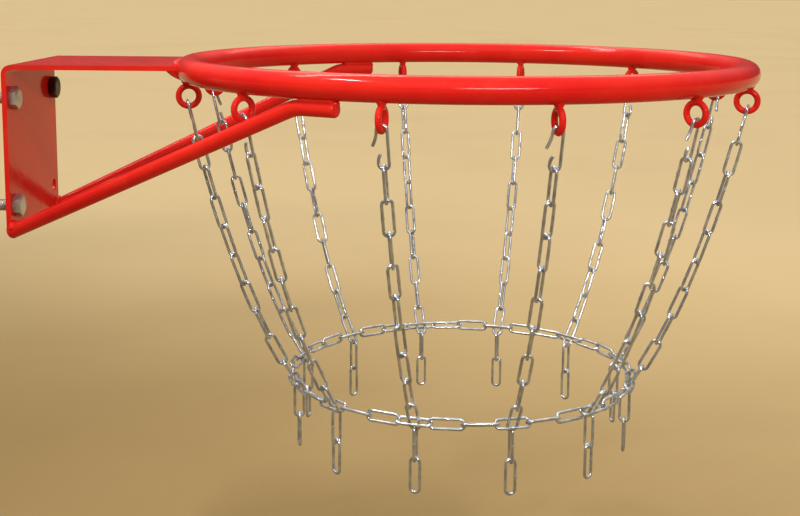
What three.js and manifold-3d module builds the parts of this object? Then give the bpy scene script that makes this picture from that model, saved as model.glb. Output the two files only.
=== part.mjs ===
// A basketball ring with a wall bracket and a chain net, in millimetres, +Z up.
// The origin is on the back face of the wall leg, at the centre of its bolt pattern.
// +X points away from the wall, +Y to the left of somebody who looks out from the wall.
import * as THREE from 'three';
import { mergeVertices } from 'three/addons/utils/BufferGeometryUtils.js';
import Module from 'manifold-3d';

const wasm = await Module();
wasm.setup();

// ---- driving dimensions -------------------------------------------------------------------------
const GAP = 0.3; // left between neighbouring pieces

const RING_INSIDE = 450;
const RING_BAR = 20;
const RING_CENTRE_X = 380; // from the wall to the centre of the ring
const RING_CENTRE_Z = 69.5; // above the centre of the bolt pattern

const PLATE_THICKNESS = 4;
const PLATE_WIDTH = 135;
const PLATE_TOP_Z = 73;
const PLATE_BOTTOM_Z = -66.5;
const PLATE_BEND_RADIUS = 8; // outside of the bend

const HOLE_SPACING_Y = 110;
const HOLE_SPACING_Z = 90;
const HOLE_DIAMETER = 11;

const BOLT_SHANK = 10;
const BOLT_HEAD_FLATS = 17;
const BOLT_HEAD_HEIGHT = 6.4;
const BOLT_REACH = 26; // of the shank, behind the wall leg
const BOLT_TIP = 1; // of the shank, sunk into the head

const BRACE_BAR = 12;
const BRACE_START = { x: 2.3, y: 62, z: -66.6 };
const BRACE_BEND_ANGLE = 121.8; // where the brace turns level, degrees round the ring from +X
const BRACE_END_ANGLE = 113.2;
const BRACE_BEND_RADIUS = 22;

const EYELET_COUNT = 12;
const EYELET_WIRE = 5;
const EYELET_OUTSIDE = 21.5;
const EYELET_PLAY = 1; // between an eyelet's wire and the hook link on it, which rocks there

const WIRE = 2.5; // the chain's wire
const LINK_WIDTH = 10.4; // outside
const LINK_PITCH = 26; // inside length of a link
const LINK_TURN = 100; // of each link in a strand, against the one above it, degrees
const LINK_CUT_BACK = 2.2; // of the corners of a link whose neighbour turns close to it
const HOOK_PITCH = 27; // inside length of the opened link
const HOOK_BOW = 2.4; // its corners' cut
const HOOK_INNER_END = { in: 2.2, up: 11 }; // the cut leg's lower end: inward, and up from the tip
const HOOK_OUTER_END = { out: 3.6, down: 16 }; // the cut leg's upper end: outward, and down from the tip
const STRAND_LINKS = 9;
const TAIL_LINKS = 2;
const RING_CHAIN_LINKS = 36;
const NEST = 0.6; // how far nested links of one piece press into each other, so that they are one body
const THREAD_HEIGHT = 7; // from a strand's lowest wire up the strand to the lower ring chain
const THREAD_TILTS = { even: -20, odd: -45 }; // of the ring chain's links that the strands pass, degrees
const LOAD_BELOW = 5.5; // links' weight that hangs on a strand's last link

// ---- derived sizes ------------------------------------------------------------------------------
const ringRadius = (RING_INSIDE + RING_BAR) / 2;
const eyeletRadius = (EYELET_OUTSIDE - EYELET_WIRE) / 2;
const eyeletZ = -(RING_BAR / 2 + GAP + EYELET_OUTSIDE / 2); // below the ring's centre plane
const hangZ = eyeletZ - eyeletRadius; // the wire that a hook link hangs on
const linkHalfWidth = (LINK_WIDTH - WIRE) / 2;
const wireSide = (WIRE * Math.sqrt(Math.PI)) / 2; // a square section of the round wire's area
const free = (WIRE + GAP) / 2; // from a contact with another piece to a wire's centre
const nested = (WIRE - NEST) / 2; // from a contact inside one piece to a wire's centre
const ringChainCorner = LINK_PITCH / (2 * Math.sin(Math.PI / RING_CHAIN_LINKS));
const threadRadius = ringChainCorner * Math.cos(Math.PI / RING_CHAIN_LINKS);

const colours = { paint: 0xd0211c, zinc: 0xb9bdc0, bolt: 0xa7aaa6, blackened: 0x1c1a19 };
const paint = () => new THREE.MeshStandardMaterial({ color: colours.paint, roughness: 0.28, metalness: 0 });
const zinc = () => new THREE.MeshStandardMaterial({ color: colours.zinc, roughness: 0.3, metalness: 1 });
const dullZinc = () => new THREE.MeshStandardMaterial({ color: colours.bolt, roughness: 0.4, metalness: 1 });
const blackened = () => new THREE.MeshStandardMaterial({ color: colours.blackened, roughness: 0.5, metalness: 1 });

const vector = (x, y, z) => new THREE.Vector3(x, y, z);
const radians = (degrees) => THREE.MathUtils.degToRad(degrees);

function add(group, name, geometry, material) {
  const mesh = new THREE.Mesh(geometry, material);
  mesh.name = name;
  group.add(mesh);
  return mesh;
}

// A point round an upright axis, at an angle from +X.
function around(angle, radius, z) {
  return vector(radius * Math.cos(radians(angle)), radius * Math.sin(radians(angle)), z);
}

// ---- solids -------------------------------------------------------------------------------------
function bare(geometry) {
  geometry.deleteAttribute('normal');
  geometry.deleteAttribute('uv');
  return mergeVertices(geometry, 1e-4);
}

function solid(geometry) {
  const closed = bare(geometry);
  return new wasm.Manifold(new wasm.Mesh({
    numProp: 3,
    vertProperties: new Float32Array(closed.attributes.position.array),
    triVerts: new Uint32Array(closed.index.array),
  }));
}

function surface(body) {
  const mesh = body.getMesh();
  const geometry = new THREE.BufferGeometry();
  geometry.setAttribute('position', new THREE.BufferAttribute(new Float32Array(mesh.vertProperties), 3));
  geometry.setIndex(new THREE.BufferAttribute(new Uint32Array(mesh.triVerts), 1));
  geometry.computeVertexNormals();
  return geometry;
}

const joined = (bodies) => bodies.reduce((sum, body) => sum.add(body));

// A closed ring of round bar about Z, as a lathe of its circular section.
function ringOfBar(radius, bar, segments, sides) {
  const profile = [];
  for (let i = 0; i <= sides; i += 1) {
    const angle = (2 * Math.PI * (i % sides)) / sides;
    profile.push(new THREE.Vector2(radius + (bar / 2) * Math.cos(angle), (bar / 2) * Math.sin(angle)));
  }
  return new THREE.LatheGeometry(profile, segments).rotateX(Math.PI / 2);
}

// A round bar along X, from x = start to x = end.
function barAlongX(diameter, start, end, sides) {
  const bar = new THREE.CylinderGeometry(diameter / 2, diameter / 2, end - start, sides);
  return bar.rotateZ(Math.PI / 2).translate((start + end) / 2, 0, 0);
}

// A bar with a square section along a flat path in XY, mitred at each corner. The path runs
// anticlockwise; it closes on itself, or the bar ends square at both ends.
function squareBar(path, side, closed) {
  const count = path.length;
  const positions = [];
  path.forEach((point, i) => {
    const first = !closed && i === 0;
    const last = !closed && i === count - 1;
    const before = path[(i + count - 1) % count];
    const after = path[(i + 1) % count];
    const leaving = after.clone().sub(point).normalize();
    const arriving = first ? leaving.clone() : point.clone().sub(before).normalize();
    if (last) leaving.copy(arriving);
    const across = new THREE.Vector2(-(arriving.y + leaving.y), arriving.x + leaving.x).normalize();
    const reach = side / 2 / across.dot(new THREE.Vector2(-arriving.y, arriving.x));
    const inner = point.clone().addScaledVector(across, reach);
    const outer = point.clone().addScaledVector(across, -reach);
    positions.push(inner.x, inner.y, side / 2, inner.x, inner.y, -side / 2);
    positions.push(outer.x, outer.y, -side / 2, outer.x, outer.y, side / 2);
  });
  const index = [];
  const spans = closed ? count : count - 1;
  for (let i = 0; i < spans; i += 1) {
    for (let j = 0; j < 4; j += 1) {
      const [a, b] = [i * 4 + j, i * 4 + ((j + 1) % 4)];
      const [c, d] = [((i + 1) % count) * 4 + j, ((i + 1) % count) * 4 + ((j + 1) % 4)];
      index.push(a, c, b, b, c, d);
    }
  }
  if (!closed) {
    const end = (count - 1) * 4;
    index.push(0, 1, 2, 0, 2, 3, end, end + 2, end + 1, end, end + 3, end + 2);
  }
  const geometry = new THREE.BufferGeometry();
  geometry.setAttribute('position', new THREE.Float32BufferAttribute(positions, 3));
  geometry.setIndex(index);
  return geometry;
}

// ---- rim, bracket, braces and bolts -------------------------------------------------------------
const RIM_SEGMENTS = 60;
const RIM_SIDES = 12;

const rimShape = () => ringOfBar(ringRadius, RING_BAR, RIM_SEGMENTS, RIM_SIDES);

// The L section of the bracket, drawn in X and Z, with its top leg running to the ring.
function bracketSection() {
  const inside = PLATE_BEND_RADIUS - PLATE_THICKNESS;
  const bendZ = PLATE_TOP_Z - PLATE_BEND_RADIUS;
  const reach = RING_CENTRE_X - ringRadius;
  const shape = new THREE.Shape();
  shape.moveTo(0, PLATE_BOTTOM_Z);
  shape.lineTo(PLATE_THICKNESS, PLATE_BOTTOM_Z);
  shape.lineTo(PLATE_THICKNESS, bendZ);
  shape.absarc(PLATE_BEND_RADIUS, bendZ, inside, Math.PI, Math.PI / 2, true);
  shape.lineTo(reach, PLATE_TOP_Z - PLATE_THICKNESS);
  shape.lineTo(reach, PLATE_TOP_Z);
  shape.lineTo(PLATE_BEND_RADIUS, PLATE_TOP_Z);
  shape.absarc(PLATE_BEND_RADIUS, bendZ, PLATE_BEND_RADIUS, Math.PI / 2, Math.PI, false);
  return shape;
}

// The bolt holes: near top, near bottom, far top, and the far bottom one that has no bolt.
const holePlaces = [[-1, 1], [-1, -1], [1, 1], [1, -1]].map(([acrossWall, up]) => (
  vector(0, (acrossWall * HOLE_SPACING_Y) / 2, (up * HOLE_SPACING_Z) / 2)
));

// The plate is cut to the ring's curve where it meets it, and drilled.
function bracketShape() {
  const section = { depth: PLATE_WIDTH, bevelEnabled: false, curveSegments: 6 };
  const blank = new THREE.ExtrudeGeometry(bracketSection(), section);
  let plate = solid(blank.rotateX(Math.PI / 2).translate(0, PLATE_WIDTH / 2, 0));
  const cope = ringOfBar(ringRadius, RING_BAR + 2 * GAP, RIM_SEGMENTS, RIM_SIDES);
  const insideRing = new THREE.CylinderGeometry(ringRadius, ringRadius, RING_BAR * 2, RIM_SEGMENTS);
  for (const cutter of [cope, insideRing.rotateX(Math.PI / 2)]) {
    plate = plate.subtract(solid(cutter.translate(RING_CENTRE_X, 0, RING_CENTRE_Z)));
  }
  for (const place of holePlaces) {
    const drill = barAlongX(HOLE_DIAMETER, -PLATE_THICKNESS, 2 * PLATE_THICKNESS, 16);
    plate = plate.subtract(solid(drill.translate(...place)));
  }
  return surface(plate);
}

// A round bar from the foot of the wall leg to the underside of the ring, level at its far end, and
// notched at its near end to fit over the wall leg's lower edge. It lies on the side of +Y or -Y that
// side names.
function braceShape(side) {
  const toRing = vector(RING_CENTRE_X, 0, RING_CENTRE_Z - RING_BAR / 2 - GAP - BRACE_BAR / 2);
  const start = vector(BRACE_START.x, side * BRACE_START.y, BRACE_START.z);
  const corner = around(side * BRACE_BEND_ANGLE, ringRadius, 0).add(toRing);
  const end = around(side * BRACE_END_ANGLE, ringRadius, 0).add(toRing);
  const into = corner.clone().sub(start).normalize();
  const out = end.clone().sub(corner).normalize();
  const cut = BRACE_BEND_RADIUS * Math.tan(into.angleTo(out) / 2);
  const bendIn = corner.clone().addScaledVector(into, -cut);
  const bendOut = corner.clone().addScaledVector(out, cut);
  const path = new THREE.CurvePath();
  path.add(new THREE.LineCurve3(start, bendIn));
  path.add(new THREE.QuadraticBezierCurve3(bendIn, corner, bendOut));
  path.add(new THREE.LineCurve3(bendOut, end));
  const section = new THREE.Shape().absarc(0, 0, BRACE_BAR / 2, 0, 2 * Math.PI);
  const bar = new THREE.ExtrudeGeometry(section, { steps: 20, extrudePath: path, curveSegments: 5 });
  const notch = new THREE.BoxGeometry(2 * (PLATE_THICKNESS + GAP), PLATE_WIDTH, PLATE_WIDTH);
  const notchZ = PLATE_BOTTOM_Z - GAP + PLATE_WIDTH / 2;
  return surface(solid(bar).subtract(solid(notch.translate(0, side * BRACE_START.y, notchZ))));
}

// A hex bolt along X: its shank behind the wall leg and through it, its head in front.
function boltShape() {
  const seat = PLATE_THICKNESS + GAP;
  const shank = barAlongX(BOLT_SHANK, -BOLT_REACH, seat + BOLT_TIP, 12);
  const head = barAlongX((2 * BOLT_HEAD_FLATS) / Math.sqrt(3), seat, seat + BOLT_HEAD_HEIGHT, 6);
  return surface(solid(shank).add(solid(head)));
}

// ---- the chain's links --------------------------------------------------------------------------
// A link lies in XY with its length along Y. Its ends are square, or cut back at their corners where a
// neighbour turns close to them.
function linkPath(length, cutBack) {
  const [w, tip] = [linkHalfWidth, length / 2];
  const corners = cutBack > 0
    ? [[w - cutBack, tip], [cutBack - w, tip], [-w, tip - cutBack], [-w, cutBack - tip],
      [cutBack - w, -tip], [w - cutBack, -tip], [w, cutBack - tip], [w, tip - cutBack]]
    : [[w, tip], [-w, tip], [-w, -tip], [w, -tip]];
  return corners.map(([x, y]) => new THREE.Vector2(x, y));
}

// Moves an XY link so that its length runs from one point to another, with its width along a direction.
function placed(geometry, top, bottom, width) {
  const along = top.clone().sub(bottom).normalize();
  const side = width.clone().addScaledVector(along, -width.dot(along)).normalize();
  const place = new THREE.Matrix4().makeBasis(side, along, side.clone().cross(along));
  place.setPosition(top.clone().add(bottom).multiplyScalar(0.5));
  return geometry.applyMatrix4(place);
}

// One link from contact to contact: its wire centres reach past them by overTop and overBottom.
function link(top, bottom, width, overTop, overBottom, cutBack = 0) {
  const along = top.clone().sub(bottom).normalize();
  const high = top.clone().addScaledVector(along, overTop);
  const low = bottom.clone().addScaledVector(along, -overBottom);
  const path = linkPath(high.distanceTo(low), cutBack);
  return solid(placed(squareBar(path, wireSide, true), high, low, width));
}

// ---- one strand and its tail --------------------------------------------------------------------
// A strand lies in the XZ plane of its own group: X outward from the ring's axis, Y along the ring,
// and Z up from the ring's centre plane.
const outward = vector(1, 0, 0);
const alongRing = vector(0, 1, 0);

// Where the links meet: each link's slope is the even inward pull over the weight below that link.
function hangingPoints(pull) {
  const points = [vector(ringRadius, 0, hangZ)];
  for (let i = 0; i <= STRAND_LINKS; i += 1) {
    const slope = Math.atan2(pull, LOAD_BELOW + STRAND_LINKS - i);
    const length = i === 0 ? HOOK_PITCH : LINK_PITCH;
    const step = vector(-length * Math.sin(slope), 0, -length * Math.cos(slope));
    points.push(points[i].clone().add(step));
  }
  return points;
}

// Where a strand passes through the lower ring chain.
function threadPoint(points) {
  return points.at(-1).clone().lerp(points.at(-2), THREAD_HEIGHT / LINK_PITCH);
}

// The contacts of a strand whose pull brings its thread point to the lower ring chain's radius.
function hang() {
  let [low, high] = [0, 20];
  for (let i = 0; i < 60; i += 1) {
    const pull = (low + high) / 2;
    if (threadPoint(hangingPoints(pull)).x > threadRadius) low = pull;
    else high = pull;
  }
  return hangingPoints(high);
}

const contacts = hang();
const foot = contacts.at(-1);

// A link's width, turned about the link's own length from the direction along the ring.
function widthDirection(i, turn) {
  const length = contacts[i].clone().sub(contacts[i + 1]).normalize();
  return alongRing.clone().applyAxisAngle(length, radians(turn));
}

// The opened link in the eyelet: one whole leg, and a cut leg whose two ends are bent out and in.
function hookShape() {
  const along = contacts[0].clone().sub(contacts[1]).normalize();
  const high = contacts[0].clone().addScaledVector(along, (EYELET_WIRE + WIRE) / 2 + EYELET_PLAY);
  const low = contacts[1].clone().addScaledVector(along, -free);
  const [w, tip] = [linkHalfWidth, high.distanceTo(low) / 2];
  const path = [
    [HOOK_INNER_END.in - w, HOOK_INNER_END.up - tip],
    [-w, HOOK_BOW - tip], [HOOK_BOW - w, -tip], [w - HOOK_BOW, -tip], [w, HOOK_BOW - tip],
    [w, tip - HOOK_BOW], [w - HOOK_BOW, tip], [HOOK_BOW - w, tip], [-w, tip - HOOK_BOW],
    [-HOOK_OUTER_END.out - w, tip - HOOK_OUTER_END.down],
  ].map(([x, y]) => new THREE.Vector2(x, y));
  return placed(squareBar(path, wireSide, false), high, low, widthDirection(0, 0));
}

function strandShape() {
  const links = [];
  for (let i = 1; i <= STRAND_LINKS; i += 1) {
    const last = i === STRAND_LINKS;
    const [overTop, overBottom] = [i === 1 ? free : nested, last ? free : nested];
    const width = widthDirection(i, LINK_TURN * i);
    links.push(link(contacts[i], contacts[i + 1], width, overTop, overBottom, last ? LINK_CUT_BACK : 0));
  }
  return surface(joined(links));
}

function tailShape() {
  const links = [];
  for (let i = 0; i < TAIL_LINKS; i += 1) {
    const high = foot.clone().add(vector(0, 0, -i * LINK_PITCH));
    const low = high.clone().add(vector(0, 0, -LINK_PITCH));
    const first = i === 0;
    const [width, overTop] = first ? [outward, free + GAP] : [alongRing, nested];
    links.push(link(high, low, width, overTop, nested, first ? LINK_CUT_BACK : 0));
  }
  return surface(joined(links));
}

function eyeletShape() {
  const ring = ringOfBar(eyeletRadius, EYELET_WIRE, 12, 5).rotateX(Math.PI / 2);
  return ring.translate(ringRadius, 0, eyeletZ);
}

// The lower ring chain: every third link is threaded by a strand, at the two tilts in turn. From one
// strand to the next its links turn on evenly, and to the one after that they turn back.
function ringChainShape(firstAngle) {
  const step = 360 / RING_CHAIN_LINKS;
  const perStrand = RING_CHAIN_LINKS / EYELET_COUNT;
  const turn = (360 + THREAD_TILTS.odd - THREAD_TILTS.even) / perStrand;
  const { z } = threadPoint(contacts);
  const links = [];
  for (let i = 0; i < RING_CHAIN_LINKS; i += 1) {
    const angle = firstAngle + i * step;
    const place = i % (2 * perStrand);
    const tilt = THREAD_TILTS.even + turn * Math.min(place, 2 * perStrand - place);
    const axis = around(angle, 1, 0).cross(vector(0, 0, 1));
    const width = around(angle, 1, 0).applyAxisAngle(axis, radians(tilt));
    const start = around(angle - step / 2, ringChainCorner, z);
    const end = around(angle + step / 2, ringChainCorner, z);
    links.push(link(end, start, width, nested, nested));
  }
  return surface(joined(links));
}

// ---- the assembly -------------------------------------------------------------------------------
const goal = new THREE.Group();
add(goal, 'bracket_plate', bracketShape(), paint());
add(goal, 'brace_near', braceShape(-1), paint());
add(goal, 'brace_far', braceShape(1), paint());
['near_top', 'near_bottom'].forEach((name, i) => {
  add(goal, `bolt_${name}`, boltShape(), dullZinc()).position.copy(holePlaces[i]);
});
add(goal, 'bolt_far_top', boltShape(), blackened()).position.copy(holePlaces[2]);

const ring = new THREE.Group();
ring.position.set(RING_CENTRE_X, 0, RING_CENTRE_Z);
goal.add(ring);
add(ring, 'rim_ring', rimShape(), paint());

const spacing = 360 / EYELET_COUNT;
const firstAngle = spacing / 2;
for (let k = 0; k < EYELET_COUNT; k += 1) {
  const number = String(k + 1).padStart(2, '0');
  const station = new THREE.Group();
  station.rotation.z = radians(firstAngle + k * spacing);
  ring.add(station);
  add(station, `eyelet_${number}`, eyeletShape(), paint());
  add(station, `hook_link_${number}`, hookShape(), zinc());
  add(station, `chain_strand_${number}`, strandShape(), zinc());
  add(station, `chain_tail_${number}`, tailShape(), zinc());
}
add(ring, 'lower_ring_chain', ringChainShape(firstAngle), zinc());

export default goal;
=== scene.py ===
import math
import random

import bpy
from mathutils import Matrix, Quaternion, Vector


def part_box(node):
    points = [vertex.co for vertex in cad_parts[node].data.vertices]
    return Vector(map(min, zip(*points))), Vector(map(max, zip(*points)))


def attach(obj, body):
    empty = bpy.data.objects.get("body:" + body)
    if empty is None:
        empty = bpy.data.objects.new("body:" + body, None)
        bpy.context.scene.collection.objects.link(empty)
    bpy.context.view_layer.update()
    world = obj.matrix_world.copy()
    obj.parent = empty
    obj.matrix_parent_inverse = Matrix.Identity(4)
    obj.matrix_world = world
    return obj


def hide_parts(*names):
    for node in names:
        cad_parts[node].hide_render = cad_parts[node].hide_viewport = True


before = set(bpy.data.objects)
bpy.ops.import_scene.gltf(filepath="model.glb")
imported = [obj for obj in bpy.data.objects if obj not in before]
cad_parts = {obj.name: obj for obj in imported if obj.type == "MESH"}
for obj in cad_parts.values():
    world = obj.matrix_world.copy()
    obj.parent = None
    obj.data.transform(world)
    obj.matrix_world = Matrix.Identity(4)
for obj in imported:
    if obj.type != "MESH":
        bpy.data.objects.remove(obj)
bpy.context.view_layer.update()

# ---- sizes: from the frame where it has them, lengths in metres and angles in degrees -------------
UP = Vector((0, 0, 1))
OUTWARD = Vector((1, 0, 0))
ALONG_RING = Vector((0, 1, 0))

ring_low, ring_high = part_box("rim_ring")
RING_CENTRE = (ring_low + ring_high) / 2
RING_BAR = ring_high.z - ring_low.z
RING_RADIUS = (ring_high.x - ring_low.x - RING_BAR) / 2

eyelet_low, eyelet_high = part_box("eyelet_01")
EYELET_OUTSIDE = eyelet_high.z - eyelet_low.z
EYELET_WIRE = 0.005
EYELET_RADIUS = (EYELET_OUTSIDE - EYELET_WIRE) / 2
HOOK_CLEARANCE = 0.0008
EYELET_Z = (eyelet_low.z + eyelet_high.z) / 2
HANG_Z = EYELET_Z - EYELET_RADIUS

plate_low, plate_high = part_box("bracket_plate")
PLATE_THICKNESS = 0.004
PLATE_BEND_RADIUS = 0.008
PLATE_EDGE_ROUNDING = 0.0006
BRACE_BAR = 0.012
BRACE_START = Vector((0.0023, 0.062, -0.0666))
BRACE_BEND_ANGLE = 121.8
BRACE_END_ANGLE = 113.2
BRACE_BEND_RADIUS = 0.0374
BRACE_CHAMFER = 0.0006
BRACE_END_ROUNDING = 0.0022

HOLE_SPACING = Vector((0, 0.110, 0.090))
HOLE_DIAMETER = 0.011
BOLT_SHANK = 0.010
BOLT_HEAD_FLATS = 0.017
BOLT_HEAD_HEIGHT = 0.0064
THREAD_PITCH = 0.0015
THREAD_DEPTH = 0.0008
THREAD_END_X = -0.001
THREAD_LEAD_IN = 0.0018
THREAD_POINT_CUT = 0.0012
WASHER_FACE = 0.0003
HEAD_CHAMFER_ANGLE = 28

COUNT = 12
WIRE = 0.0025
LINK_WIDTH = 0.0104
LINK_PITCH = 0.026
LINK_TURN = 100  # from each link to the next
LINK_LOOSE = 5  # most that a link may turn from that, either way
LINK_SIDES = 12
HOOK_PITCH = 0.027
STRAND_LINKS = 9
TAIL_LINKS = 2
RING_CHAIN_LINKS = 36
PASS_HEIGHT = 0.007  # of the lower ring chain above a strand's lowest contact
PASS_TILTS = (-20, -45)  # of the ring chain's links at every other strand, and at the rest
LOAD_BELOW = 5.5  # weight that a strand's lowest link bears, in links

# The two ends of the hook's cut leg: one in from the leg and up from the hook's low tip, the other out
# from the leg and down from the high tip.
HOOK_INNER_IN = 0.0022
HOOK_INNER_UP = 0.011
HOOK_OUTER_OUT = 0.0036
HOOK_OUTER_DOWN = 0.016

FLOOR_Z = -0.42
FLOOR_HALF = 40.0


# ---- mesh helpers ---------------------------------------------------------------------------------
def frames_along(points, closed, up):
    """A tangent and two sideways directions at each point, the first of them up where that is given."""
    count = len(points)
    found = []
    normal = up
    for i, point in enumerate(points):
        before = points[i - 1] if closed or i > 0 else point
        after = points[(i + 1) % count] if closed or i < count - 1 else point
        tangent = (after - before).normalized()
        if normal is None:
            normal = tangent.orthogonal()
        if up is None:
            normal = (normal - tangent * normal.dot(tangent)).normalized()
        found.append((tangent, normal, tangent.cross(normal).normalized()))
    return found


def skin(rows, closed=False, turned=False):
    """Vertices and faces over equal rows of points, joined to the first row or capped at both ends."""
    sides = len(rows[0])
    vertices = [point for row in rows for point in row]
    faces = []
    for i in range(len(rows) if closed else len(rows) - 1):
        here, there = i * sides, (i + 1) % len(rows) * sides
        for j in range(sides):
            k = (j + 1) % sides
            if turned:
                faces.append((here + j, there + j, there + k, here + k))
            else:
                faces.append((here + j, here + k, there + k, there + j))
    if not closed:
        first = tuple(range(sides))
        last = tuple(range(len(vertices) - sides, len(vertices)))
        faces.append(first if turned else first[::-1])
        faces.append(last[::-1] if turned else last)
    return vertices, faces


def tube(points, radii, sides, closed=False, up=None):
    """Vertices and faces of a round bar along points, with one radius or a radius for each point."""
    if isinstance(radii, float):
        radii = [radii] * len(points)
    rows = []
    for point, radius, (_, normal, side) in zip(points, radii, frames_along(points, closed, up)):
        turns = [2 * math.pi * j / sides for j in range(sides)]
        rows.append([point + radius * (math.cos(t) * normal + math.sin(t) * side) for t in turns])
    return skin(rows, closed)


def bend_point(start, corner, end, t):
    """The point at t, from 0 to 1, on the quadratic curve that corner pulls away from the straight."""
    return start * (1 - t) ** 2 + corner * 2 * t * (1 - t) + end * t ** 2


def moved(part, matrix):
    """A part's vertices and faces after a move."""
    vertices, faces = part
    return [matrix @ v for v in vertices], faces


def joined(parts):
    """Several parts as one list of vertices and faces."""
    vertices, faces = [], []
    for part_vertices, part_faces in parts:
        start = len(vertices)
        vertices.extend(part_vertices)
        faces.extend(tuple(start + i for i in face) for face in part_faces)
    return vertices, faces


def linked(name, data):
    """A new object in the scene."""
    thing = bpy.data.objects.new(name, data)
    bpy.context.scene.collection.objects.link(thing)
    return thing


def piece(name, part, material, body, replaces=(), sharp=40):
    """A finished piece: its mesh, material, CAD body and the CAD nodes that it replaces."""
    vertices, faces = part
    mesh = bpy.data.meshes.new(name)
    mesh.from_pydata([tuple(v) for v in vertices], [], faces)
    mesh.update()
    mesh.shade_smooth()
    mesh.set_sharp_from_angle(angle=math.radians(sharp))
    mesh.materials.append(material)
    thing = linked(name, mesh)
    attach(thing, body)
    if replaces:
        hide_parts(*replaces)
    return thing


def around(angle, radius, z):
    """A point round the ring's axis, at an angle in degrees from +X."""
    turn = math.radians(angle)
    return Vector((RING_CENTRE.x + radius * math.cos(turn), radius * math.sin(turn), z))


def station(angle):
    """The place at an angle round the ring: X outward from its axis, Y along the ring, Z up."""
    return Matrix.Translation((RING_CENTRE.x, 0, 0)) @ Matrix.Rotation(math.radians(angle), 4, "Z")


# ---- materials ------------------------------------------------------------------------------------
class Nodes:
    """A short way to build one material's node tree."""

    def __init__(self, name):
        self.material = bpy.data.materials.new(name)
        self.material.use_nodes = True
        self.tree = self.material.node_tree
        self.tree.nodes.clear()
        output = self.tree.nodes.new("ShaderNodeOutputMaterial")
        self.shader = self.tree.nodes.new("ShaderNodeBsdfPrincipled")
        self.tree.links.new(self.shader.outputs[0], output.inputs[0])
        coordinates = self.tree.nodes.new("ShaderNodeTexCoord")
        self.place = coordinates.outputs["Object"]

    def add(self, kind, values=None, **settings):
        node = self.tree.nodes.new(kind)
        for key, value in settings.items():
            setattr(node, key, value)
        for key, value in (values or {}).items():
            self.feed(node, key, value)
        return node

    def feed(self, node, key, value):
        if isinstance(value, bpy.types.NodeSocket):
            self.tree.links.new(value, node.inputs[key])
        else:
            node.inputs[key].default_value = value

    def set(self, **values):
        for key, value in values.items():
            self.feed(self.shader, key.replace("_", " "), value)

    def noise(self, scale, detail=3.0, roughness=0.5):
        values = {"Vector": self.place, "Scale": scale, "Detail": detail, "Roughness": roughness}
        return self.add("ShaderNodeTexNoise", values).outputs["Fac"]

    def span(self, value, low, high, to_low, to_high):
        """value's stretch from low to high, laid over to_low to to_high and held there outside it."""
        values = {"Value": value, "From Min": low, "From Max": high, "To Min": to_low, "To Max": to_high}
        return self.add("ShaderNodeMapRange", values).outputs["Result"]

    def mix(self, amount, first, second):
        node = self.add("ShaderNodeMix", data_type="RGBA")
        self.feed(node, 0, amount)
        self.feed(node, 6, first)
        self.feed(node, 7, second)
        return node.outputs[2]

    def maths(self, how, first, second=0.0):
        node = self.add("ShaderNodeMath", operation=how)
        self.feed(node, 0, first)
        self.feed(node, 1, second)
        return node.outputs[0]

    def bump(self, height, depth, strength=1.0, under=None):
        values = {"Height": height, "Distance": depth, "Strength": strength}
        if under is not None:
            values["Normal"] = under
        return self.add("ShaderNodeBump", values).outputs["Normal"]


def red_paint():
    """Glossy scarlet enamel, laid on thick: soft waves, a faint bloom of dust and a few small chips."""
    deep, bright = (0.58, 0.010, 0.008, 1), (0.69, 0.021, 0.011, 1)
    dusty, chipped = (0.70, 0.08, 0.035, 1), (0.16, 0.03, 0.02, 1)
    n = Nodes("red_enamel")
    colour = n.mix(n.span(n.noise(14.0, 4.0), 0.3, 0.7, 0.0, 1.0), deep, bright)
    dust = n.span(n.noise(45.0, 5.0, 0.6), 0.54, 0.80, 0.0, 0.16)
    colour = n.mix(dust, colour, dusty)
    chips = n.span(n.noise(230.0, 2.0, 0.4), 0.775, 0.79, 0.0, 1.0)
    colour = n.mix(chips, colour, chipped)
    peel = n.bump(n.noise(420.0, 2.0), 0.00010, 0.35)
    wave = n.bump(n.noise(70.0, 3.0), 0.0005, 0.35, under=peel)
    dent = n.bump(n.maths("SUBTRACT", 1.0, chips), 0.00015, 0.6, under=wave)
    roughness = n.span(n.noise(120.0, 4.0), 0.3, 0.7, 0.08, 0.18)
    n.set(Base_Color=colour, Roughness=roughness, Normal=dent)
    n.shader.inputs["Specular IOR Level"].default_value = 0.12
    return n.material


def plating(name, light, dark, grime, rough):
    """Plated steel with a soft mottle and a little grime, each link or bolt a little different."""
    n = Nodes(name)
    island = n.add("ShaderNodeNewGeometry").outputs["Random Per Island"]
    tone = n.span(n.noise(120.0, 4.0, 0.55), 0.35, 0.65, 0.0, 1.0)
    colour = n.mix(tone, dark, light)
    colour = n.mix(n.span(island, 0.0, 1.0, 0.0, 0.25), colour, grime)
    spots = n.span(n.noise(420.0, 3.0, 0.6), 0.64, 0.74, 0.0, 0.35)
    colour = n.mix(spots, colour, grime)
    roughness = n.span(n.noise(260.0, 4.0), 0.3, 0.7, rough[0], rough[1])
    pits = n.bump(n.noise(700.0, 3.0), 0.00002, 0.3)
    n.set(Base_Color=colour, Roughness=roughness, Normal=pits)
    n.shader.inputs["Metallic"].default_value = 0.85
    return n.material


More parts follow.
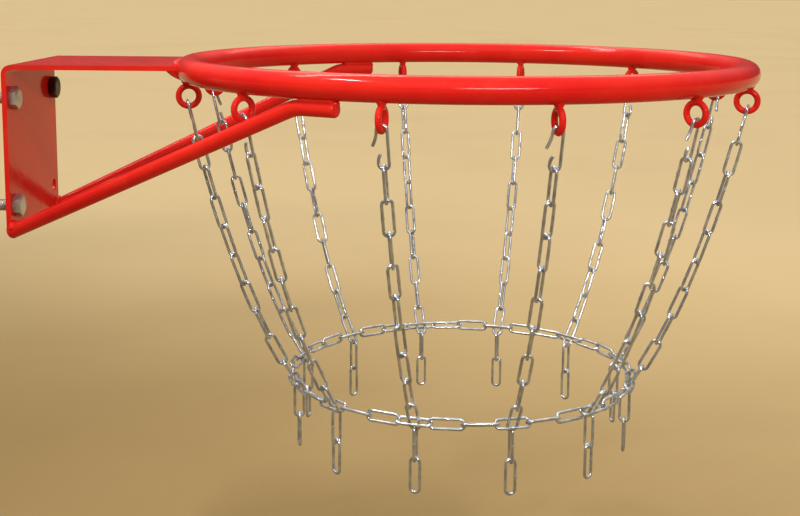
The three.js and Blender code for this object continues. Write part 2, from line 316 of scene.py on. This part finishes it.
def floor_paper():
    """A plain pale studio floor, faintly mottled like paper, with one wide pool of painted shade in a
    deeper tan.
    """
    # Painted shade: the floor is a deeper tan within inner of middle and fades to pale by outer.
    middle, inner, outer = (-0.4, -0.9, FLOOR_Z), 1.0, 3.3
    painted_shade_tan, pale = (0.25, 0.163, 0.062, 1), (0.93, 0.685, 0.355, 1)
    n = Nodes("floor_paper")
    away = n.add("ShaderNodeVectorMath", {0: n.place, 1: middle}, operation="DISTANCE").outputs["Value"]
    reach = {"Value": away, "From Min": inner, "From Max": outer}
    out_of_painted_shade = n.add("ShaderNodeMapRange", reach, interpolation_type="SMOOTHSTEP").outputs["Result"]
    mottle = n.span(n.noise(1.3, 5.0), 0.3, 0.7, -0.05, 0.05)
    colour = n.mix(n.maths("ADD", out_of_painted_shade, mottle), painted_shade_tan, pale)
    grain = n.bump(n.noise(90.0, 4.0), 0.0008, 0.3)
    n.set(Base_Color=colour, Normal=grain)
    n.shader.inputs["Roughness"].default_value = 0.85
    n.shader.inputs["Specular IOR Level"].default_value = 0.1
    return n.material


# ---- ring, bracket, braces and welds --------------------------------------------------------------
def rim_ring():
    """The rim: one round bar bent to a closed circle."""
    steps = 240
    points = [around(360 * i / steps, RING_RADIUS, RING_CENTRE.z) for i in range(steps)]
    return tube(points, RING_BAR / 2, 32, closed=True, up=UP)


def arc(centre, radius, start, end, steps):
    """Points (x, z) along an arc, in degrees."""
    found = []
    for i in range(steps + 1):
        turn = math.radians(start + (end - start) * i / steps)
        found.append((centre[0] + radius * math.cos(turn), centre[1] + radius * math.sin(turn)))
    return found


def bracket_section(reach):
    """The bracket's L in X and Z, with its top leg as far as reach."""
    top, bottom = plate_high.z, plate_low.z
    bend = (PLATE_BEND_RADIUS, top - PLATE_BEND_RADIUS)
    inner = arc(bend, PLATE_BEND_RADIUS - PLATE_THICKNESS, 180, 90, 8)
    outer = arc(bend, PLATE_BEND_RADIUS, 90, 180, 8)
    ends = [(reach, top - PLATE_THICKNESS), (reach, top)]
    return [(0, bottom), (PLATE_THICKNESS, bottom), *inner, *ends, *outer]


def bracket_blank():
    """The bent plate, with its top leg's end curved to lie inside the ring's bar."""
    columns = 36
    inside_bar = RING_RADIUS + RING_BAR / 4
    rows = []
    for i in range(columns + 1):
        y = plate_low.y + (plate_high.y - plate_low.y) * i / columns
        reach = RING_CENTRE.x - math.sqrt(inside_bar ** 2 - y ** 2)
        rows.append([Vector((x, y, z)) for x, z in bracket_section(reach)])
    return skin(rows)


def hole_places():
    """The four holes' centres on the wall face, around the origin."""
    half = HOLE_SPACING / 2
    return {
        "near_top": Vector((0, -half.y, half.z)),
        "near_bottom": Vector((0, -half.y, -half.z)),
        "far_top": Vector((0, half.y, half.z)),
        "far_bottom": Vector((0, half.y, -half.z)),
    }


def keep_result(thing):
    """Keeps what a piece's modifiers make as its own mesh."""
    bpy.context.view_layer.update()
    depsgraph = bpy.context.evaluated_depsgraph_get()
    result = bpy.data.meshes.new_from_object(thing.evaluated_get(depsgraph))
    thing.modifiers.clear()
    thing.data = result


def bracket_plate(material):
    """The bracket with its four holes drilled and its edges rounded."""
    plate = piece("plate_of_bracket", bracket_blank(), material, "ring_and_bracket", ["bracket_plate"])
    drills = []
    for place in hole_places().values():
        along = [place + OUTWARD * x for x in (-PLATE_THICKNESS, 2 * PLATE_THICKNESS)]
        drills.append(tube(along, HOLE_DIAMETER / 2, 40))
    mesh = bpy.data.meshes.new("drills")
    vertices, faces = joined(drills)
    mesh.from_pydata([tuple(v) for v in vertices], [], faces)
    cutter = linked("drills", mesh)
    holes = plate.modifiers.new("holes", "BOOLEAN")
    holes.object = cutter
    holes.solver = "EXACT"
    rounding = plate.modifiers.new("rounding", "BEVEL")
    rounding.width = PLATE_EDGE_ROUNDING
    rounding.segments = 3
    rounding.limit_method = "ANGLE"
    rounding.angle_limit = math.radians(50)
    rounding.harden_normals = True
    keep_result(plate)
    bpy.data.objects.remove(cutter)


def blend_bend(before, corner, after, radius, steps):
    """Points through a corner with a round bend, as a quadratic curve between its two straights."""
    into = (corner - before).normalized()
    out = (after - corner).normalized()
    cut = radius * math.tan(into.angle(out) / 2)
    start, end = corner - into * cut, corner + out * cut
    return [bend_point(start, corner, end, i / steps) for i in range(steps + 1)]


def brace_points(side):
    """A brace's centre line: its foot at the wall leg, its bend and its end under the rim."""
    level = RING_CENTRE.z - RING_BAR / 2 - BRACE_BAR / 2
    start = Vector((BRACE_START.x, side * BRACE_START.y, BRACE_START.z))
    corner = around(side * BRACE_BEND_ANGLE, RING_RADIUS, level)
    end = around(side * BRACE_END_ANGLE, RING_RADIUS, level)
    return start, corner, end


def brace(side):
    """A bent bar: its foot cut square with a small chamfer, and its far end's edge well rounded."""
    start, corner, end = brace_points(side)
    bend = blend_bend(start, corner, end, BRACE_BEND_RADIUS, 14)
    radius = BRACE_BAR / 2
    rise = (corner - start).normalized()
    points = [start, start + rise * BRACE_CHAMFER, *bend]
    radii = [radius - BRACE_CHAMFER] + [radius] * (len(bend) + 1)
    along = (end - bend[-1]).normalized()
    rounding_steps = 5
    for i in range(rounding_steps + 1):
        turn = math.pi / 2 * i / rounding_steps
        points.append(end - along * BRACE_END_ROUNDING * (1 - math.sin(turn)))
        radii.append(radius - BRACE_END_ROUNDING * (1 - math.cos(turn)))
    return tube(points, radii, 32)


def bead(points, radius, seed):
    """A weld bead: a low rounded run with even ripples, uneven here and there, and soft ends."""
    draw = random.Random(seed)
    ripple, per_step, uneven_length = 0.0022, 0.0005, 0.007
    end_share, low_share, ripple_share, uneven_share, rough_share = 0.25, 0.86, 0.16, 0.07, 0.02
    fine = []
    for first, second in zip(points, points[1:]):
        steps = max(2, int((second - first).length / per_step))
        fine.extend(first.lerp(second, i / steps) for i in range(steps))
    fine.append(points[-1])
    total = sum((b - a).length for a, b in zip(fine, fine[1:]))
    phase = draw.uniform(0, ripple)
    swell = draw.uniform(0.0, 6.28)
    length = 0.0
    radii = []
    previous = fine[0]
    for point in fine:
        length += (point - previous).length
        previous = point
        near_end = min(1.0, min(length, total - length) / radius)
        taper = math.sqrt(near_end * (2 - near_end))
        wave = abs(math.sin(math.pi * (length + phase) / ripple))
        uneven = uneven_share * math.sin(length / uneven_length + swell)
        uneven += draw.uniform(-rough_share, rough_share)
        size = end_share + (1 - end_share) * taper
        radii.append(radius * size * (low_share + ripple_share * wave + uneven))
    return tube(fine, radii, 14)


def arc_across(radius, y, z):
    """The point at y on a circle round the ring's axis, on the bracket's side."""
    return Vector((RING_CENTRE.x - math.sqrt(radius ** 2 - y ** 2), y, z))


def ring_weld(z, clear, thick, seed):
    """The bead between the ring and one face of the bracket's top leg, clear of the bar's side."""
    radius = RING_RADIUS + math.sqrt((RING_BAR / 2) ** 2 - (z - RING_CENTRE.z) ** 2) + clear
    steps = 40
    half = plate_high.y - 0.002
    points = [arc_across(radius, -half + 2 * half * i / steps, z) for i in range(steps + 1)]
    return bead(points, thick, seed)


def ring_fillet(seed):
    """The heavy sloping weld under the top leg, from the plate's underside down the side of the ring."""
    draw = random.Random(seed)
    steps, curve_steps, end_steps = 180, 9, 5
    half = plate_high.y - 0.0015
    reach, foot, bulge = 0.0085, math.radians(62), 0.0006
    ripple_depth, ripple_pitch, wave_length, end_sink = 0.00035, 0.0032, 0.011, 0.0012
    bar = RING_BAR / 2
    under = plate_high.z - PLATE_THICKNESS - RING_CENTRE.z
    inside_plate = under + 0.001
    top = Vector((bar + reach, under))
    low = Vector((bar * math.cos(foot), -bar * math.sin(foot)))
    outward = Vector((low.y - top.y, top.x - low.x)).normalized() * -1
    phase = draw.uniform(0, 1)
    rows = []
    for i in range(steps + 1):
        y = -half + 2 * half * i / steps
        near_end = min(1.0, min(i, steps - i) / end_steps)
        ripple = ripple_depth * abs(math.sin(math.pi * (y / ripple_pitch + phase)))
        ripple += ripple_depth * math.sin(y / wave_length)
        section = [Vector((bar + reach, inside_plate))]
        for j in range(curve_steps + 1):
            t = j / curve_steps
            swell = (bulge + ripple) * math.sin(math.pi * t) - end_sink * (1 - near_end)
            section.append(top.lerp(low, t) + outward * swell)
        section.append(Vector((bar * 0.3, -bar * 0.3)))
        section.append(Vector((bar * 0.6, inside_plate)))
        places = [(RING_RADIUS + across, RING_CENTRE.z + rise) for across, rise in section]
        rows.append([arc_across(radius, y, z) for radius, z in places])
    return skin(rows, turned=True)


def brace_welds(side):
    """A brace's beads: two along it and one across its end under the ring, and one over the plate."""
    start, corner, end = brace_points(side)
    along = (end - corner).normalized()
    across = along.cross(UP)
    apart, start_gap, end_gap, sunk = 0.0028, 0.004, 0.002, 0.0004
    long_bead, plate_bead, end_bead, end_half, end_back = 0.0019, 0.0027, 0.0031, 0.0036, 0.0015
    proud = 0.0006
    runs = []
    for sign in (-1, 1):
        offset = across * sign * apart + UP * (BRACE_BAR / 2 - sunk)
        first, last = corner + along * start_gap + offset, end - along * end_gap + offset
        runs.append(bead([first, last], long_bead, 31 * side + sign))
    rise = (corner - start).normalized()
    face = start + rise * ((PLATE_THICKNESS + proud - start.x) / rise.x)
    over = []
    steps, widest = 12, 80
    for i in range(steps + 1):
        turn = math.radians(-widest + 2 * widest * i / steps)
        up = BRACE_BAR / 2 * math.cos(turn) / math.hypot(rise.x, rise.y)
        over.append(face + Vector((0, side * BRACE_BAR / 2 * math.sin(turn), up)))
    runs.append(bead(over, plate_bead, 17 * side))
    tip = end - along * end_back + UP * (BRACE_BAR / 2 - BRACE_END_ROUNDING)
    runs.append(bead([tip - across * end_half, tip + across * end_half], end_bead, 19 * side))
    return runs


def eyelet(angle):
    """A closed ring of wire under the rim, in the upright plane that faces along the rim."""
    steps = 48
    points = []
    for i in range(steps):
        turn = 2 * math.pi * i / steps
        x = RING_RADIUS + EYELET_RADIUS * math.cos(turn)
        points.append(Vector((x, 0, EYELET_Z + EYELET_RADIUS * math.sin(turn))))
    part = tube(points, EYELET_WIRE / 2, 18, closed=True, up=ALONG_RING)
    return moved(part, station(angle))


def eyelet_weld(angle, seed):
    """The weld at an eyelet's top: a neck that spreads from the wire to an oval foot on the bar."""
    draw = random.Random(seed)
    sides, steps, flare = 28, 8, 1.8
    wire_across, foot_across = EYELET_WIRE / 2 - 0.0001, draw.uniform(0.0040, 0.0046)
    wire_along, foot_along = 0.0038, draw.uniform(0.0058, 0.0068)
    lump, where = draw.uniform(0.03, 0.08), draw.uniform(0, 2 * math.pi)
    sunk = 0.0005
    rows = []
    for i in range(steps + 1):
        t = i / steps
        spread = (1 - t) ** flare
        row = []
        for j in range(sides):
            turn = 2 * math.pi * j / sides
            uneven = 1 + lump * math.sin(2 * turn + where) * (1 - t)
            x = (wire_along + (foot_along - wire_along) * spread) * math.cos(turn) * uneven
            y = (wire_across + (foot_across - wire_across) * spread) * math.sin(turn) * uneven
            bar_bottom = RING_CENTRE.z - math.sqrt((RING_BAR / 2) ** 2 - x ** 2) + sunk
            wire_middle = EYELET_Z + math.sqrt(EYELET_RADIUS ** 2 - x ** 2)
            row.append(Vector((RING_RADIUS + x, y, bar_bottom + (wire_middle - bar_bottom) * t)))
        rows.append(row)
    return moved(skin(rows, turned=True), station(angle))


# ---- bolts ----------------------------------------------------------------------------------------
def turned_point(x, radius, turn):
    """A point at a radius and a turn round the X axis."""
    return Vector((x, radius * math.cos(turn), radius * math.sin(turn)))


def bolt_head(seat, height):
    """A hex head along X, its corners rounded off by a chamfer, with a thin washer face under it."""
    flats = BOLT_HEAD_FLATS / 2
    divisions = 72
    slope = math.tan(math.radians(HEAD_CHAMFER_ANGLE))
    top, face = seat + height, seat - WASHER_FACE
    middle, chamfer_start, washer = flats * 0.55, flats * 0.94, flats * 0.95
    edges = []
    for j in range(divisions):
        within = (2 * math.pi * j / divisions + math.pi / 6) % (math.pi / 3) - math.pi / 6
        edges.append(flats / math.cos(within))
    rings = [[(radius, top)] * divisions for radius in (middle, chamfer_start)]
    rings.append([(edge, top - max(0.0, edge - chamfer_start) * slope) for edge in edges])
    rings.append([(edge, seat + WASHER_FACE) for edge in edges])
    rings.append([(edge * 0.985, seat) for edge in edges])
    for corner in ((washer, seat), (washer, face), (BOLT_SHANK / 2, face)):
        rings.append([corner] * divisions)
    vertices, faces = [], []
    for ring in rings:
        for j, (radius, x) in enumerate(ring):
            vertices.append(turned_point(x, radius, 2 * math.pi * j / divisions))
    for i in range(len(rings) - 1):
        here, there = i * divisions, (i + 1) * divisions
        for j in range(divisions):
            k = (j + 1) % divisions
            faces.append((here + k, here + j, there + j, there + k))
    centre = len(vertices)
    vertices.append(turned_point(top, 0.0, 0.0))
    for j in range(divisions):
        faces.append((centre, j, (j + 1) % divisions))
    return vertices, faces


def bolt_shank(start, plain_from, end):
    """A shank along X with a cut thread up to plain_from, then a plain stretch."""
    sides, per_pitch = 28, 8
    count = int((end - start) / (THREAD_PITCH / per_pitch))
    rows = []
    for i in range(count + 1):
        x = start + (end - start) * i / count
        lead = min(1.0, (x - start) / THREAD_LEAD_IN)
        row = []
        for j in range(sides):
            phase = (x / THREAD_PITCH - j / sides) % 1.0
            groove = abs(2 * phase - 1)
            cut = THREAD_DEPTH * max(0.0, min(1.0, 1.25 * groove - 0.1))
            radius = BOLT_SHANK / 2 - (cut if x < plain_from else 0.0)
            radius = min(radius, BOLT_SHANK / 2 - THREAD_POINT_CUT * (1 - lead))
            row.append(turned_point(x, radius, 2 * math.pi * j / sides))
        rows.append(row)
    return skin(rows)


def bolt(node, place):
    """A hex bolt in its CAD node's box, its head on the plate and its thread behind the wall face."""
    low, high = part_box(node)
    seat = high.x - BOLT_HEAD_HEIGHT
    part = joined([bolt_head(seat, BOLT_HEAD_HEIGHT), bolt_shank(low.x, THREAD_END_X, seat)])
    return moved(part, Matrix.Translation(place))


# ---- chain ----------------------------------------------------------------------------------------
def bow(radius, y, start, steps):
    """Points over half a circle in XY round (0, y), from the angle start."""
    turns = [start + math.pi * i / steps for i in range(steps + 1)]
    return [Vector((radius * math.cos(turn), y + radius * math.sin(turn), 0)) for turn in turns]


def link_loop(length):
    """Centre line and radii of one link in XY, its length along Y, with a butt weld in its +X leg."""
    half_width = (LINK_WIDTH - WIRE) / 2
    straight = length / 2 - half_width
    radius = WIRE / 2
    weld_swell, weld_reach = 0.2, 0.0008
    points, radii = [], []
    for share in (-1, -0.6, -0.3, -0.16, -0.09, -0.045, 0, 0.045, 0.09, 0.16, 0.3, 0.6):
        y = share * straight
        points.append(Vector((half_width, y, 0)))
        radii.append(radius * (1 + weld_swell * math.exp(-(y / weld_reach) ** 2)))
    bow_steps, leg_steps = 12, 4
    points.extend(bow(half_width, straight, 0, bow_steps)[:-1])
    for i in range(leg_steps):
        points.append(Vector((-half_width, straight - 2 * straight * i / leg_steps, 0)))
    points.extend(bow(half_width, -straight, math.pi, bow_steps)[:-1])
    radii.extend([radius] * (len(points) - len(radii)))
    return points, radii


def between(top, bottom, width):
    """Turns XY so that Y runs from bottom up to top and X lies along width."""
    along = (top - bottom).normalized()
    side = (width - along * width.dot(along)).normalized()
    middle = (top + bottom) / 2
    turned = Matrix((side, along, side.cross(along))).transposed().to_4x4()
    return Matrix.Translation(middle) @ turned


def link(top, bottom, width):
    """One link from contact to contact; its wire's centre line reaches half a wire past them."""
    along = (top - bottom).normalized()
    high, low = top + along * WIRE / 2, bottom - along * WIRE / 2
    points, radii = link_loop((high - low).length)
    return moved(tube(points, radii, LINK_SIDES, closed=True, up=UP), between(high, low, width))


def hanging_points(pull):
    """A strand's contacts in its station's XZ plane: slope is the even pull over the weight below."""
    points = [Vector((RING_RADIUS, 0, HANG_Z))]
    for i in range(STRAND_LINKS + 1):
        slope = math.atan2(pull, LOAD_BELOW + STRAND_LINKS - i)
        length = HOOK_PITCH if i == 0 else LINK_PITCH
        points.append(points[-1] - length * Vector((math.sin(slope), 0, math.cos(slope))))
    return points


def pass_point(points):
    """Where the lower ring chain passes through a strand's last link."""
    return points[-1].lerp(points[-2], PASS_HEIGHT / LINK_PITCH)


def hang():
    """The contacts of a strand whose passing point lies at the lower ring chain's radius."""
    low, high = 0.0, 20.0
    for _ in range(60):
        pull = (low + high) / 2
        if pass_point(hanging_points(pull)).x > PASS_RADIUS:
            low = pull
        else:
            high = pull
    return hanging_points(high)


RING_CHAIN_CORNER = LINK_PITCH / (2 * math.sin(math.pi / RING_CHAIN_LINKS))
PASS_RADIUS = RING_CHAIN_CORNER * math.cos(math.pi / RING_CHAIN_LINKS)
contacts = hang()


def turned_width(i, turn):
    """The width direction of a strand's link i, turned about its length by an angle in degrees."""
    length = (contacts[i] - contacts[i + 1]).normalized()
    return Quaternion(length, math.radians(turn)) @ ALONG_RING


def cut_ends(points, radius, chamfer):
    """Points and radii of a bar whose two cut ends have a small chamfer."""
    first = (points[1] - points[0]).normalized() * chamfer
    last = (points[-1] - points[-2]).normalized() * chamfer
    points = [points[0], points[0] + first, *points[1:-1], points[-1] - last, points[-1]]
    radii = [radius - chamfer] + [radius] * (len(points) - 2) + [radius - chamfer]
    return points, radii


def hook_link():
    """The opened link: a whole leg, and a cut leg whose ends are bent in and out."""
    along = (contacts[0] - contacts[1]).normalized()
    high = contacts[0] + along * ((EYELET_WIRE + WIRE) / 2 + HOOK_CLEARANCE)
    low = contacts[1] - along * WIRE / 2
    half_width = (LINK_WIDTH - WIRE) / 2
    tip = (high - low).length / 2
    straight = tip - half_width
    steps, inner_pull, outer_pull, cut_chamfer = 7, 0.002, 0.005, 0.0002
    inner = Vector((HOOK_INNER_IN - half_width, HOOK_INNER_UP - tip, 0))
    inner_corner = Vector((-half_width, inner.y - inner_pull, 0))
    leg_low, leg_high = Vector((-half_width, -straight, 0)), Vector((-half_width, straight, 0))
    outer_corner = Vector((-half_width, straight - outer_pull, 0))
    outer = Vector((-half_width - HOOK_OUTER_OUT, tip - HOOK_OUTER_DOWN, 0))
    points = [bend_point(inner, inner_corner, leg_low, i / steps) for i in range(steps)]
    points.extend(bow(half_width, -straight, math.pi, 12))
    points.extend(bow(half_width, straight, 0, 12))
    points.extend(bend_point(leg_high, outer_corner, outer, i / steps) for i in range(1, steps + 1))
    points, radii = cut_ends(points, WIRE / 2, cut_chamfer)
    return moved(tube(points, radii, LINK_SIDES, up=UP), between(high, low, turned_width(0, 0)))


def strand(seed):
    """A strand's links below its hook, each turned on the last, all but the lowest a little loose."""
    draw = random.Random(seed)
    links = []
    for i in range(1, STRAND_LINKS + 1):
        loose = 0 if i == STRAND_LINKS else draw.uniform(-LINK_LOOSE, LINK_LOOSE)
        links.append(link(contacts[i], contacts[i + 1], turned_width(i, LINK_TURN * i + loose)))
    return joined(links)


def tail():
    """The free links that hang straight down from a strand's last contact."""
    foot = contacts[-1]
    links = []
    for i in range(TAIL_LINKS):
        high = foot - UP * (LINK_PITCH * i)
        links.append(link(high, high - UP * LINK_PITCH, OUTWARD if i == 0 else ALONG_RING))
    return joined(links)


def ring_chain(first_angle):
    """The lower ring chain: its links turn on evenly to the next strand, and back to the one after."""
    step = 360 / RING_CHAIN_LINKS
    per_strand = RING_CHAIN_LINKS // COUNT
    turn = (360 + PASS_TILTS[1] - PASS_TILTS[0]) / per_strand
    z = pass_point(contacts).z
    links = []
    for i in range(RING_CHAIN_LINKS):
        angle = first_angle + i * step
        place = i % (2 * per_strand)
        tilt = PASS_TILTS[0] + turn * min(place, 2 * per_strand - place)
        outward = station(angle).to_3x3() @ OUTWARD
        width = Quaternion(outward.cross(UP), math.radians(tilt)) @ outward
        start = around(angle - step / 2, RING_CHAIN_CORNER, z)
        end = around(angle + step / 2, RING_CHAIN_CORNER, z)
        links.append(link(end, start, width))
    return joined(links)


# ---- camera, floor and light ----------------------------------------------------------------------
def camera():
    """The camera at the photograph's viewing angle."""
    data = bpy.data.cameras.new("camera")
    data.sensor_width = 36
    data.lens = 58.87
    data.shift_y = -0.10
    data.clip_start, data.clip_end = 0.05, 60
    eye = linked("camera", data)
    place = RING_CENTRE + Vector((-0.01869, -1.12484, 0.07422))
    left, down, roll = (math.radians(a) for a in (1.867, 8.618, 0.372))
    turn = Matrix.Rotation(left, 4, "Z") @ Matrix.Rotation(math.pi / 2 - down, 4, "X")
    eye.matrix_world = Matrix.Translation(place) @ turn @ Matrix.Rotation(roll, 4, "Z")
    bpy.context.scene.camera = eye


def light(kind, name, place, target, power, colour):
    """A light at place that shines at target."""
    data = bpy.data.lights.new(name, kind)
    data.energy = power
    data.color = colour
    lamp = linked(name, data)
    lamp.location = place
    lamp.rotation_mode = "QUATERNION"
    lamp.rotation_quaternion = (Vector(target) - Vector(place)).to_track_quat("-Z", "Y")
    return lamp


def area_light(name, place, target, size, power, colour, spread):
    """A flat lamp, size across and up, whose light spreads over an angle in degrees."""
    lamp = light("AREA", name, place, target, power, colour)
    lamp.data.shape = "RECTANGLE"
    lamp.data.size, lamp.data.size_y = size
    lamp.data.spread = math.radians(spread)
    lamp.visible_camera = False


def sky():
    """Light from all round, bright overhead and dim at the horizon; the camera sees a plain backdrop."""
    horizon, overhead, backdrop_tan = (0.09, 0.09, 0.09, 1), (1.0, 1.0, 0.98, 1), (0.74, 0.55, 0.30, 1)
    dim_up_to, bright_from, strength = 0.1, 0.75, 0.88
    world = bpy.data.worlds.new("studio")
    world.use_nodes = True
    tree = world.node_tree
    direction = tree.nodes.new("ShaderNodeTexCoord")
    parts = tree.nodes.new("ShaderNodeSeparateXYZ")
    height = tree.nodes.new("ShaderNodeMapRange")
    height.interpolation_type = "SMOOTHSTEP"
    height.inputs["From Min"].default_value = dim_up_to
    height.inputs["From Max"].default_value = bright_from
    shade = tree.nodes.new("ShaderNodeMix")
    shade.data_type = "RGBA"
    shade.inputs[6].default_value = horizon
    shade.inputs[7].default_value = overhead
    seen = tree.nodes.new("ShaderNodeLightPath")
    backdrop = tree.nodes.new("ShaderNodeMix")
    backdrop.data_type = "RGBA"
    backdrop.inputs[7].default_value = backdrop_tan
    tree.links.new(direction.outputs["Generated"], parts.inputs[0])
    tree.links.new(parts.outputs["Z"], height.inputs["Value"])
    tree.links.new(height.outputs["Result"], shade.inputs[0])
    tree.links.new(seen.outputs["Is Camera Ray"], backdrop.inputs[0])
    tree.links.new(shade.outputs[2], backdrop.inputs[6])
    tree.links.new(backdrop.outputs[2], tree.nodes["Background"].inputs[0])
    tree.nodes["Background"].inputs[1].default_value = strength
    bpy.context.scene.world = world


def studio():
    """A soft key light, three long lamps for the streaks on the bars, a warm one behind, and the sky."""
    middle = (0.38, 0.0, -0.05)
    soft, warm, amber = (1.0, 0.98, 0.95), (1.0, 0.97, 0.93), (1.0, 0.86, 0.60)
    key = light("SUN", "key", (0.20, -1.30, 1.25), middle, 0.35, soft)
    key.data.angle = math.radians(50)
    lamp_at, lamp_to = (-0.42, -0.47, 1.25), (0.29, -0.23, 0.08)
    area_light("lamp", lamp_at, lamp_to, (0.34, 0.045), 2.0, soft, 70)
    front_at, front_to = (0.67, -1.43, 0.52), (0.40, -0.235, 0.073)
    area_light("front", front_at, front_to, (0.70, 0.03), 1.5, warm, 60)
    overhead_at, overhead_to = (-0.22, 0.47, 1.31), (0.13, 0.13, 0.0)
    area_light("overhead", overhead_at, overhead_to, (1.2, 0.08), 3.5, warm, 110)
    area_light("rear", (0.38, 1.5, 1.4), middle, (1.8, 0.9), 4, amber, 110)
    sky()
    bpy.context.scene.view_settings.view_transform = "Standard"


def floor(material):
    """A wide square of floor, which isn't part of the object."""
    mesh = bpy.data.meshes.new("floor")
    signs = [(-1, -1), (1, -1), (1, 1), (-1, 1)]
    mesh.from_pydata([(x * FLOOR_HALF, y * FLOOR_HALF, FLOOR_Z) for x, y in signs], [], [(0, 1, 2, 3)])
    mesh.materials.append(material)
    linked("floor", mesh)


# ---- the assembly ---------------------------------------------------------------------------------
def fixed(name, part, replaces=(), sharp=40):
    """A red piece of the ring and bracket."""
    piece(name, part, paint, "ring_and_bracket", replaces, sharp)


def chain(name, part, body, node):
    """A zinc-plated piece of the net, in place of its CAD node."""
    piece(name, part, chain_zinc, body, [node])


paint = red_paint()
chain_zinc = plating("chain_zinc", light=(0.74, 0.78, 0.82, 1), dark=(0.40, 0.44, 0.49, 1),
                     grime=(0.26, 0.29, 0.32, 1), rough=(0.12, 0.26))
# Painted shade: zinc darkened to near black for the far top bolt, which sits in the shadow of the
# bracket's top leg.
bolt_black = plating("bolt_black", light=(0.10, 0.10, 0.09, 1), dark=(0.03, 0.03, 0.03, 1),
                     grime=(0.08, 0.05, 0.03, 1), rough=(0.35, 0.55))
bolt_zinc = plating("bolt_zinc", light=(0.62, 0.62, 0.57, 1), dark=(0.44, 0.44, 0.40, 1),
                    grime=(0.30, 0.28, 0.22, 1), rough=(0.28, 0.46))

camera()
studio()
floor(floor_paper())

fixed("ring_bar", rim_ring(), ["rim_ring"])
bracket_plate(paint)
fixed("ring_weld_top", ring_weld(plate_high.z, clear=0.0006, thick=0.0026, seed=3))
fixed("ring_weld_under", ring_fillet(seed=4), sharp=60)
for side, name in ((-1, "near"), (1, "far")):
    fixed(f"brace_{name}_bar", brace(side), [f"brace_{name}"])
    fixed(f"brace_{name}_welds", joined(brace_welds(side)))

# The far bottom hole has no bolt, and the far top bolt is darkened to near black as painted shade, for
# the shadow of the bracket's top leg.
for name, place in hole_places().items():
    node = f"bolt_{name}"
    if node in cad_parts:
        slot, metal = ("bolt_black", bolt_black) if name == "far_top" else ("bolt_zinc", bolt_zinc)
        piece(f"hex_{node}", bolt(node, place), metal, "ring_and_bracket", [node])

first_angle = 180 / COUNT
for k in range(COUNT):
    number = f"{k + 1:02d}"
    angle = first_angle + k * 360 / COUNT
    here = station(angle)
    fixed(f"eye_{number}", eyelet(angle), [f"eyelet_{number}"])
    fixed(f"eye_{number}_weld", eyelet_weld(angle, k))
    chain(f"hook_{number}", moved(hook_link(), here), f"strand_{number}", f"hook_link_{number}")
    chain(f"strand_{number}_links", moved(strand(k), here), f"strand_{number}", f"chain_strand_{number}")
    chain(f"tail_{number}_links", moved(tail(), here), f"tail_{number}", f"chain_tail_{number}")
chain("lower_ring_links", ring_chain(first_angle), "lower_ring", "lower_ring_chain")
